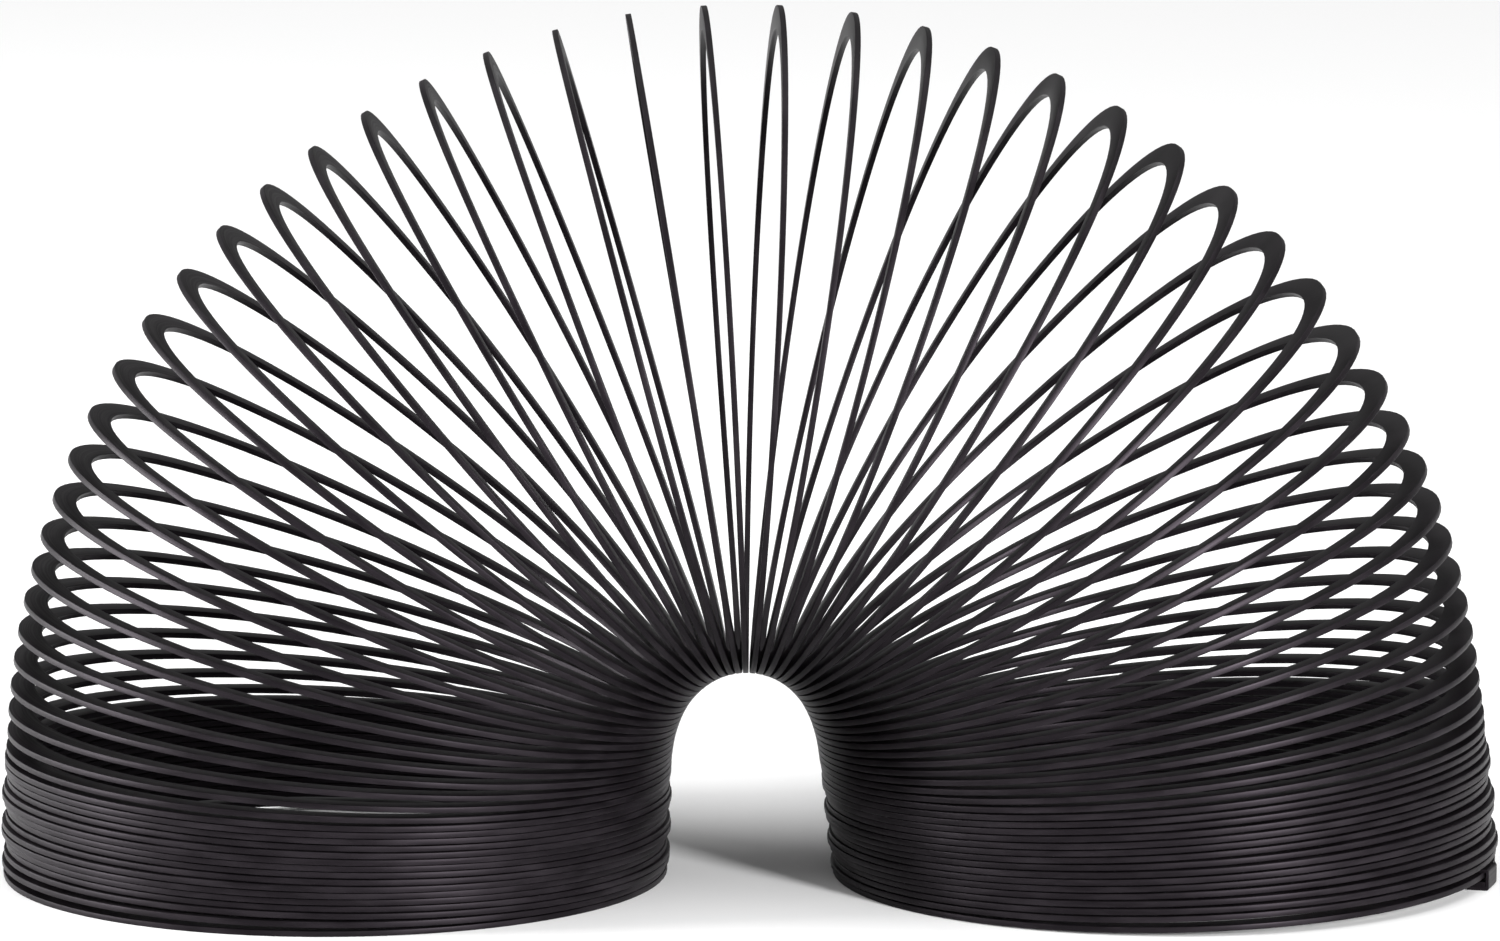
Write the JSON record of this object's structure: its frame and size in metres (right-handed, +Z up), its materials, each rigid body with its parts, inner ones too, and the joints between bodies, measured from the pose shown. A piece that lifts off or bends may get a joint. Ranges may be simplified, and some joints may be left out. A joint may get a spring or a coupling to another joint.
{
  "type": "spring coil toy",
  "caption": "Black flat-wire steel coil toy standing as an arch on both stacked ends, its turns fanned open over the crown and closed where they touch inside.",
  "frame": {"origin": "on the ground, midway between the two feet of the arch", "axes": "+X from the left foot to the right foot, +Z up; the arch lies in the XZ plane"},
  "size_m": [0.1577, 0.0706, 0.0915],
  "materials": {
    "coil": "semi-gloss black coating",
    "clip": "semi-gloss black coating"
  },
  "bodies": {
    "left_foot": {"left_foot_coil": "coil", "left_end_clip": "clip"},
    "turn_01": {"fan_turn_01": "coil"},
    "turn_02": {"fan_turn_02": "coil"},
    "turn_03": {"fan_turn_03": "coil"},
    "turn_04": {"fan_turn_04": "coil"},
    "turn_05": {"fan_turn_05": "coil"},
    "turn_06": {"fan_turn_06": "coil"},
    "turn_07": {"fan_turn_07": "coil"},
    "turn_08": {"fan_turn_08": "coil"},
    "turn_09": {"fan_turn_09": "coil"},
    "turn_10": {"fan_turn_10": "coil"},
    "turn_11": {"fan_turn_11": "coil"},
    "turn_12": {"fan_turn_12": "coil"},
    "turn_13": {"fan_turn_13": "coil"},
    "turn_14": {"fan_turn_14": "coil"},
    "turn_15": {"fan_turn_15": "coil"},
    "turn_16": {"fan_turn_16": "coil"},
    "turn_17": {"fan_turn_17": "coil"},
    "turn_18": {"fan_turn_18": "coil"},
    "turn_19": {"fan_turn_19": "coil"},
    "turn_20": {"fan_turn_20": "coil"},
    "turn_21": {"fan_turn_21": "coil"},
    "turn_22": {"fan_turn_22": "coil"},
    "turn_23": {"fan_turn_23": "coil"},
    "turn_24": {"fan_turn_24": "coil"},
    "turn_25": {"fan_turn_25": "coil"},
    "turn_26": {"fan_turn_26": "coil"},
    "turn_27": {"fan_turn_27": "coil"},
    "turn_28": {"fan_turn_28": "coil"},
    "turn_29": {"fan_turn_29": "coil"},
    "turn_30": {"fan_turn_30": "coil"},
    "turn_31": {"fan_turn_31": "coil"},
    "turn_32": {"fan_turn_32": "coil"},
    "turn_33": {"fan_turn_33": "coil"},
    "turn_34": {"fan_turn_34": "coil"},
    "turn_35": {"fan_turn_35": "coil"},
    "turn_36": {"fan_turn_36": "coil"},
    "turn_37": {"fan_turn_37": "coil"},
    "turn_38": {"fan_turn_38": "coil"},
    "turn_39": {"fan_turn_39": "coil"},
    "turn_40": {"fan_turn_40": "coil"},
    "turn_41": {"fan_turn_41": "coil"},
    "turn_42": {"fan_turn_42": "coil"},
    "turn_43": {"fan_turn_43": "coil"},
    "turn_44": {"fan_turn_44": "coil"},
    "turn_45": {"fan_turn_45": "coil"},
    "turn_46": {"fan_turn_46": "coil"},
    "right_foot": {"right_foot_coil": "coil", "right_end_clip": "clip"}
  },
  "joints": [
    {"name": "turn_hinge_01", "type": "hinge", "parent": "left_foot", "child": "turn_01", "pos_m": [-0.00832, 0, 0.01068], "axis": [0, 1, 0], "range_deg": [-0.702, 0.072], "stiffness_Nm_per_rad": 0.05, "springref_deg": 22.43},
    {"name": "turn_hinge_02", "type": "hinge", "parent": "turn_01", "child": "turn_02", "pos_m": [-0.00828, 0, 0.01133], "axis": [0, 1, 0], "range_deg": [-1.28, 0.13], "stiffness_Nm_per_rad": 0.05, "springref_deg": 21.57},
    {"name": "turn_hinge_03", "type": "hinge", "parent": "turn_02", "child": "turn_03", "pos_m": [-0.00822, 0, 0.01198], "axis": [0, 1, 0], "range_deg": [-1.54, 0.16], "stiffness_Nm_per_rad": 0.05, "springref_deg": 20.7},
    {"name": "turn_hinge_04", "type": "hinge", "parent": "turn_03", "child": "turn_04", "pos_m": [-0.00815, 0, 0.01262], "axis": [0, 1, 0], "range_deg": [-1.74, 0.18], "stiffness_Nm_per_rad": 0.05, "springref_deg": 19.85},
    {"name": "turn_hinge_05", "type": "hinge", "parent": "turn_04", "child": "turn_05", "pos_m": [-0.00806, 0, 0.01327], "axis": [0, 1, 0], "range_deg": [-1.92, 0.19], "stiffness_Nm_per_rad": 0.05, "springref_deg": 19.01},
    {"name": "turn_hinge_06", "type": "hinge", "parent": "turn_05", "child": "turn_06", "pos_m": [-0.00794, 0, 0.0139], "axis": [0, 1, 0], "range_deg": [-2.09, 0.21], "stiffness_Nm_per_rad": 0.05, "springref_deg": 18.19},
    {"name": "turn_hinge_07", "type": "hinge", "parent": "turn_06", "child": "turn_07", "pos_m": [-0.0078, 0, 0.01454], "axis": [0, 1, 0], "range_deg": [-2.26, 0.23], "stiffness_Nm_per_rad": 0.05, "springref_deg": 17.38},
    {"name": "turn_hinge_08", "type": "hinge", "parent": "turn_07", "child": "turn_08", "pos_m": [-0.00763, 0, 0.01517], "axis": [0, 1, 0], "range_deg": [-2.47, 0.25], "stiffness_Nm_per_rad": 0.05, "springref_deg": 16.58},
    {"name": "turn_hinge_09", "type": "hinge", "parent": "turn_08", "child": "turn_09", "pos_m": [-0.00744, 0, 0.01579], "axis": [0, 1, 0], "range_deg": [-2.73, 0.28], "stiffness_Nm_per_rad": 0.05, "springref_deg": 15.81},
    {"name": "turn_hinge_10", "type": "hinge", "parent": "turn_09", "child": "turn_10", "pos_m": [-0.00722, 0, 0.0164], "axis": [0, 1, 0], "range_deg": [-3.07, 0.31], "stiffness_Nm_per_rad": 0.05, "springref_deg": 15.05},
    {"name": "turn_hinge_11", "type": "hinge", "parent": "turn_10", "child": "turn_11", "pos_m": [-0.00696, 0, 0.017], "axis": [0, 1, 0], "range_deg": [-3.46, 0.35], "stiffness_Nm_per_rad": 0.05, "springref_deg": 14.32},
    {"name": "turn_hinge_12", "type": "hinge", "parent": "turn_11", "child": "turn_12", "pos_m": [-0.00667, 0, 0.01758], "axis": [0, 1, 0], "range_deg": [-3.83, 0.38], "stiffness_Nm_per_rad": 0.05, "springref_deg": 13.61},
    {"name": "turn_hinge_13", "type": "hinge", "parent": "turn_12", "child": "turn_13", "pos_m": [-0.00633, 0, 0.01813], "axis": [0, 1, 0], "range_deg": [-4.13, 0.41], "stiffness_Nm_per_rad": 0.05, "springref_deg": 12.95},
    {"name": "turn_hinge_14", "type": "hinge", "parent": "turn_13", "child": "turn_14", "pos_m": [-0.00596, 0, 0.01867], "axis": [0, 1, 0], "range_deg": [-4.34, 0.44], "stiffness_Nm_per_rad": 0.05, "springref_deg": 12.32},
    {"name": "turn_hinge_15", "type": "hinge", "parent": "turn_14", "child": "turn_15", "pos_m": [-0.00555, 0, 0.01917], "axis": [0, 1, 0], "range_deg": [-4.46, 0.45], "stiffness_Nm_per_rad": 0.05, "springref_deg": 11.73},
    {"name": "turn_hinge_16", "type": "hinge", "parent": "turn_15", "child": "turn_16", "pos_m": [-0.00509, 0, 0.01963], "axis": [0, 1, 0], "range_deg": [-4.54, 0.46], "stiffness_Nm_per_rad": 0.05, "springref_deg": 11.19},
    {"name": "turn_hinge_17", "type": "hinge", "parent": "turn_16", "child": "turn_17", "pos_m": [-0.00461, 0, 0.02006], "axis": [0, 1, 0], "range_deg": [-4.64, 0.47], "stiffness_Nm_per_rad": 0.05, "springref_deg": 10.69},
    {"name": "turn_hinge_18", "type": "hinge", "parent": "turn_17", "child": "turn_18", "pos_m": [-0.00408, 0, 0.02045], "axis": [0, 1, 0], "range_deg": [-4.8, 0.48], "stiffness_Nm_per_rad": 0.05, "springref_deg": 10.25},
    {"name": "turn_hinge_19", "type": "hinge", "parent": "turn_18", "child": "turn_19", "pos_m": [-0.00353, 0, 0.02079], "axis": [0, 1, 0], "range_deg": [-5.02, 0.5], "stiffness_Nm_per_rad": 0.05, "springref_deg": 9.86},
    {"name": "turn_hinge_20", "type": "hinge", "parent": "turn_19", "child": "turn_20", "pos_m": [-0.00295, 0, 0.02107], "axis": [0, 1, 0], "range_deg": [-5.29, 0.53], "stiffness_Nm_per_rad": 0.05, "springref_deg": 9.54},
    {"name": "turn_hinge_21", "type": "hinge", "parent": "turn_20", "child": "turn_21", "pos_m": [-0.00234, 0, 0.02131], "axis": [0, 1, 0], "range_deg": [-5.54, 0.56], "stiffness_Nm_per_rad": 0.05, "springref_deg": 9.27},
    {"name": "turn_hinge_22", "type": "hinge", "parent": "turn_21", "child": "turn_22", "pos_m": [-0.00171, 0, 0.02148], "axis": [0, 1, 0], "range_deg": [-5.73, 0.57], "stiffness_Nm_per_rad": 0.05, "springref_deg": 9.08},
    {"name": "arch_bend", "type": "hinge", "parent": "turn_22", "child": "turn_23", "pos_m": [-0.00107, 0, 0.02158], "axis": [0, 1, 0], "range_deg": [-5.82, 0.58], "stiffness_Nm_per_rad": 0.05, "springref_deg": 8.96},
    {"name": "turn_hinge_24", "type": "hinge", "parent": "turn_23", "child": "turn_24", "pos_m": [-0.00042, 0, 0.02162], "axis": [0, 1, 0], "range_deg": [-5.81, 0.58], "stiffness_Nm_per_rad": 0.05, "springref_deg": 8.92},
    {"name": "turn_hinge_25", "type": "hinge", "parent": "turn_24", "child": "turn_25", "pos_m": [0.00023, 0, 0.02159], "axis": [0, 1, 0], "range_deg": [-5.71, 0.57], "stiffness_Nm_per_rad": 0.05, "springref_deg": 8.95},
    {"name": "turn_hinge_26", "type": "hinge", "parent": "turn_25", "child": "turn_26", "pos_m": [0.00087, 0, 0.02149], "axis": [0, 1, 0], "range_deg": [-5.58, 0.56], "stiffness_Nm_per_rad": 0.05, "springref_deg": 9.06},
    {"name": "turn_hinge_27", "type": "hinge", "parent": "turn_26", "child": "turn_27", "pos_m": [0.0015, 0, 0.02133], "axis": [0, 1, 0], "range_deg": [-5.45, 0.55], "stiffness_Nm_per_rad": 0.05, "springref_deg": 9.24},
    {"name": "turn_hinge_28", "type": "hinge", "parent": "turn_27", "child": "turn_28", "pos_m": [0.00211, 0, 0.02111], "axis": [0, 1, 0], "range_deg": [-5.36, 0.54], "stiffness_Nm_per_rad": 0.05, "springref_deg": 9.49},
    {"name": "turn_hinge_29", "type": "hinge", "parent": "turn_28", "child": "turn_29", "pos_m": [0.0027, 0, 0.02083], "axis": [0, 1, 0], "range_deg": [-5.31, 0.53], "stiffness_Nm_per_rad": 0.05, "springref_deg": 9.81},
    {"name": "turn_hinge_30", "type": "hinge", "parent": "turn_29", "child": "turn_30", "pos_m": [0.00325, 0, 0.02049], "axis": [0, 1, 0], "range_deg": [-5.28, 0.53], "stiffness_Nm_per_rad": 0.05, "springref_deg": 10.19},
    {"name": "turn_hinge_31", "type": "hinge", "parent": "turn_30", "child": "turn_31", "pos_m": [0.00378, 0, 0.02011], "axis": [0, 1, 0], "range_deg": [-5.22, 0.52], "stiffness_Nm_per_rad": 0.05, "springref_deg": 10.63},
    {"name": "turn_hinge_32", "type": "hinge", "parent": "turn_31", "child": "turn_32", "pos_m": [0.00426, 0, 0.01967], "axis": [0, 1, 0], "range_deg": [-5.07, 0.51], "stiffness_Nm_per_rad": 0.05, "springref_deg": 11.13},
    {"name": "turn_hinge_33", "type": "hinge", "parent": "turn_32", "child": "turn_33", "pos_m": [0.0047, 0, 0.0192], "axis": [0, 1, 0], "range_deg": [-4.8, 0.48], "stiffness_Nm_per_rad": 0.05, "springref_deg": 11.69},
    {"name": "turn_hinge_34", "type": "hinge", "parent": "turn_33", "child": "turn_34", "pos_m": [0.0051, 0, 0.01869], "axis": [0, 1, 0], "range_deg": [-4.43, 0.44], "stiffness_Nm_per_rad": 0.05, "springref_deg": 12.29},
    {"name": "turn_hinge_35", "type": "hinge", "parent": "turn_34", "child": "turn_35", "pos_m": [0.00546, 0, 0.01814], "axis": [0, 1, 0], "range_deg": [-3.99, 0.4], "stiffness_Nm_per_rad": 0.05, "springref_deg": 12.94},
    {"name": "turn_hinge_36", "type": "hinge", "parent": "turn_35", "child": "turn_36", "pos_m": [0.00578, 0, 0.01758], "axis": [0, 1, 0], "range_deg": [-3.55, 0.36], "stiffness_Nm_per_rad": 0.05, "springref_deg": 13.62},
    {"name": "turn_hinge_37", "type": "hinge", "parent": "turn_36", "child": "turn_37", "pos_m": [0.00606, 0, 0.01699], "axis": [0, 1, 0], "range_deg": [-3.17, 0.32], "stiffness_Nm_per_rad": 0.05, "springref_deg": 14.34},
    {"name": "turn_hinge_38", "type": "hinge", "parent": "turn_37", "child": "turn_38", "pos_m": [0.00631, 0, 0.01639], "axis": [0, 1, 0], "range_deg": [-2.86, 0.29], "stiffness_Nm_per_rad": 0.05, "springref_deg": 15.08},
    {"name": "turn_hinge_39", "type": "hinge", "parent": "turn_38", "child": "turn_39", "pos_m": [0.00653, 0, 0.01578], "axis": [0, 1, 0], "range_deg": [-2.61, 0.26], "stiffness_Nm_per_rad": 0.05, "springref_deg": 15.84},
    {"name": "turn_hinge_40", "type": "hinge", "parent": "turn_39", "child": "turn_40", "pos_m": [0.00672, 0, 0.01516], "axis": [0, 1, 0], "range_deg": [-2.38, 0.24], "stiffness_Nm_per_rad": 0.05, "springref_deg": 16.62},
    {"name": "turn_hinge_41", "type": "hinge", "parent": "turn_40", "child": "turn_41", "pos_m": [0.00688, 0, 0.01453], "axis": [0, 1, 0], "range_deg": [-2.14, 0.22], "stiffness_Nm_per_rad": 0.05, "springref_deg": 17.42},
    {"name": "turn_hinge_42", "type": "hinge", "parent": "turn_41", "child": "turn_42", "pos_m": [0.00701, 0, 0.01389], "axis": [0, 1, 0], "range_deg": [-1.88, 0.19], "stiffness_Nm_per_rad": 0.05, "springref_deg": 18.23},
    {"name": "turn_hinge_43", "type": "hinge", "parent": "turn_42", "child": "turn_43", "pos_m": [0.00713, 0, 0.01325], "axis": [0, 1, 0], "range_deg": [-1.61, 0.16], "stiffness_Nm_per_rad": 0.05, "springref_deg": 19.06},
    {"name": "turn_hinge_44", "type": "hinge", "parent": "turn_43", "child": "turn_44", "pos_m": [0.00723, 0, 0.01261], "axis": [0, 1, 0], "range_deg": [-1.35, 0.14], "stiffness_Nm_per_rad": 0.05, "springref_deg": 19.9},
    {"name": "turn_hinge_45", "type": "hinge", "parent": "turn_44", "child": "turn_45", "pos_m": [0.00732, 0, 0.01196], "axis": [0, 1, 0], "range_deg": [-1.09, 0.11], "stiffness_Nm_per_rad": 0.05, "springref_deg": 20.74},
    {"name": "turn_hinge_46", "type": "hinge", "parent": "turn_45", "child": "turn_46", "pos_m": [0.00743, 0, 0.01132], "axis": [0, 1, 0], "range_deg": [-0.7659, 0.0784], "stiffness_Nm_per_rad": 0.05, "springref_deg": 21.57},
    {"name": "turn_hinge_47", "type": "hinge", "parent": "turn_46", "child": "right_foot", "pos_m": [0.00753, 0, 0.01067], "axis": [0, 1, 0], "range_deg": [-0.483, 0.0501], "stiffness_Nm_per_rad": 0.05, "springref_deg": 22.4}
  ],
  "couplings": [
    {"joint": "turn_hinge_01", "follows": "arch_bend", "ratio": 0.12027},
    {"joint": "turn_hinge_02", "follows": "arch_bend", "ratio": 0.21894},
    {"joint": "turn_hinge_03", "follows": "arch_bend", "ratio": 0.265},
    {"joint": "turn_hinge_04", "follows": "arch_bend", "ratio": 0.29858},
    {"joint": "turn_hinge_05", "follows": "arch_bend", "ratio": 0.33025},
    {"joint": "turn_hinge_06", "follows": "arch_bend", "ratio": 0.35922},
    {"joint": "turn_hinge_07", "follows": "arch_bend", "ratio": 0.38834},
    {"joint": "turn_hinge_08", "follows": "arch_bend", "ratio": 0.42332},
    {"joint": "turn_hinge_09", "follows": "arch_bend", "ratio": 0.46949},
    {"joint": "turn_hinge_10", "follows": "arch_bend", "ratio": 0.52791},
    {"joint": "turn_hinge_11", "follows": "arch_bend", "ratio": 0.59357},
    {"joint": "turn_hinge_12", "follows": "arch_bend", "ratio": 0.65711},
    {"joint": "turn_hinge_13", "follows": "arch_bend", "ratio": 0.70917},
    {"joint": "turn_hinge_14", "follows": "arch_bend", "ratio": 0.74485},
    {"joint": "turn_hinge_15", "follows": "arch_bend", "ratio": 0.76604},
    {"joint": "turn_hinge_16", "follows": "arch_bend", "ratio": 0.78033},
    {"joint": "turn_hinge_17", "follows": "arch_bend", "ratio": 0.7973},
    {"joint": "turn_hinge_18", "follows": "arch_bend", "ratio": 0.82414},
    {"joint": "turn_hinge_19", "follows": "arch_bend", "ratio": 0.86249},
    {"joint": "turn_hinge_20", "follows": "arch_bend", "ratio": 0.90788},
    {"joint": "turn_hinge_21", "follows": "arch_bend", "ratio": 0.95164},
    {"joint": "turn_hinge_22", "follows": "arch_bend", "ratio": 0.98447},
    {"joint": "turn_hinge_24", "follows": "arch_bend", "ratio": 0.99718},
    {"joint": "turn_hinge_25", "follows": "arch_bend", "ratio": 0.98056},
    {"joint": "turn_hinge_26", "follows": "arch_bend", "ratio": 0.95767},
    {"joint": "turn_hinge_27", "follows": "arch_bend", "ratio": 0.93568},
    {"joint": "turn_hinge_28", "follows": "arch_bend", "ratio": 0.92041},
    {"joint": "turn_hinge_29", "follows": "arch_bend", "ratio": 0.91266},
    {"joint": "turn_hinge_30", "follows": "arch_bend", "ratio": 0.90751},
    {"joint": "turn_hinge_31", "follows": "arch_bend", "ratio": 0.89627},
    {"joint": "turn_hinge_32", "follows": "arch_bend", "ratio": 0.87016},
    {"joint": "turn_hinge_33", "follows": "arch_bend", "ratio": 0.82425},
    {"joint": "turn_hinge_34", "follows": "arch_bend", "ratio": 0.75999},
    {"joint": "turn_hinge_35", "follows": "arch_bend", "ratio": 0.68495},
    {"joint": "turn_hinge_36", "follows": "arch_bend", "ratio": 0.6098},
    {"joint": "turn_hinge_37", "follows": "arch_bend", "ratio": 0.54372},
    {"joint": "turn_hinge_38", "follows": "arch_bend", "ratio": 0.49054},
    {"joint": "turn_hinge_39", "follows": "arch_bend", "ratio": 0.44777},
    {"joint": "turn_hinge_40", "follows": "arch_bend", "ratio": 0.409},
    {"joint": "turn_hinge_41", "follows": "arch_bend", "ratio": 0.36816},
    {"joint": "turn_hinge_42", "follows": "arch_bend", "ratio": 0.32308},
    {"joint": "turn_hinge_43", "follows": "arch_bend", "ratio": 0.27564},
    {"joint": "turn_hinge_44", "follows": "arch_bend", "ratio": 0.23182},
    {"joint": "turn_hinge_45", "follows": "arch_bend", "ratio": 0.18756},
    {"joint": "turn_hinge_46", "follows": "arch_bend", "ratio": 0.13124},
    {"joint": "turn_hinge_47", "follows": "arch_bend", "ratio": 0.082643}
  ]
}
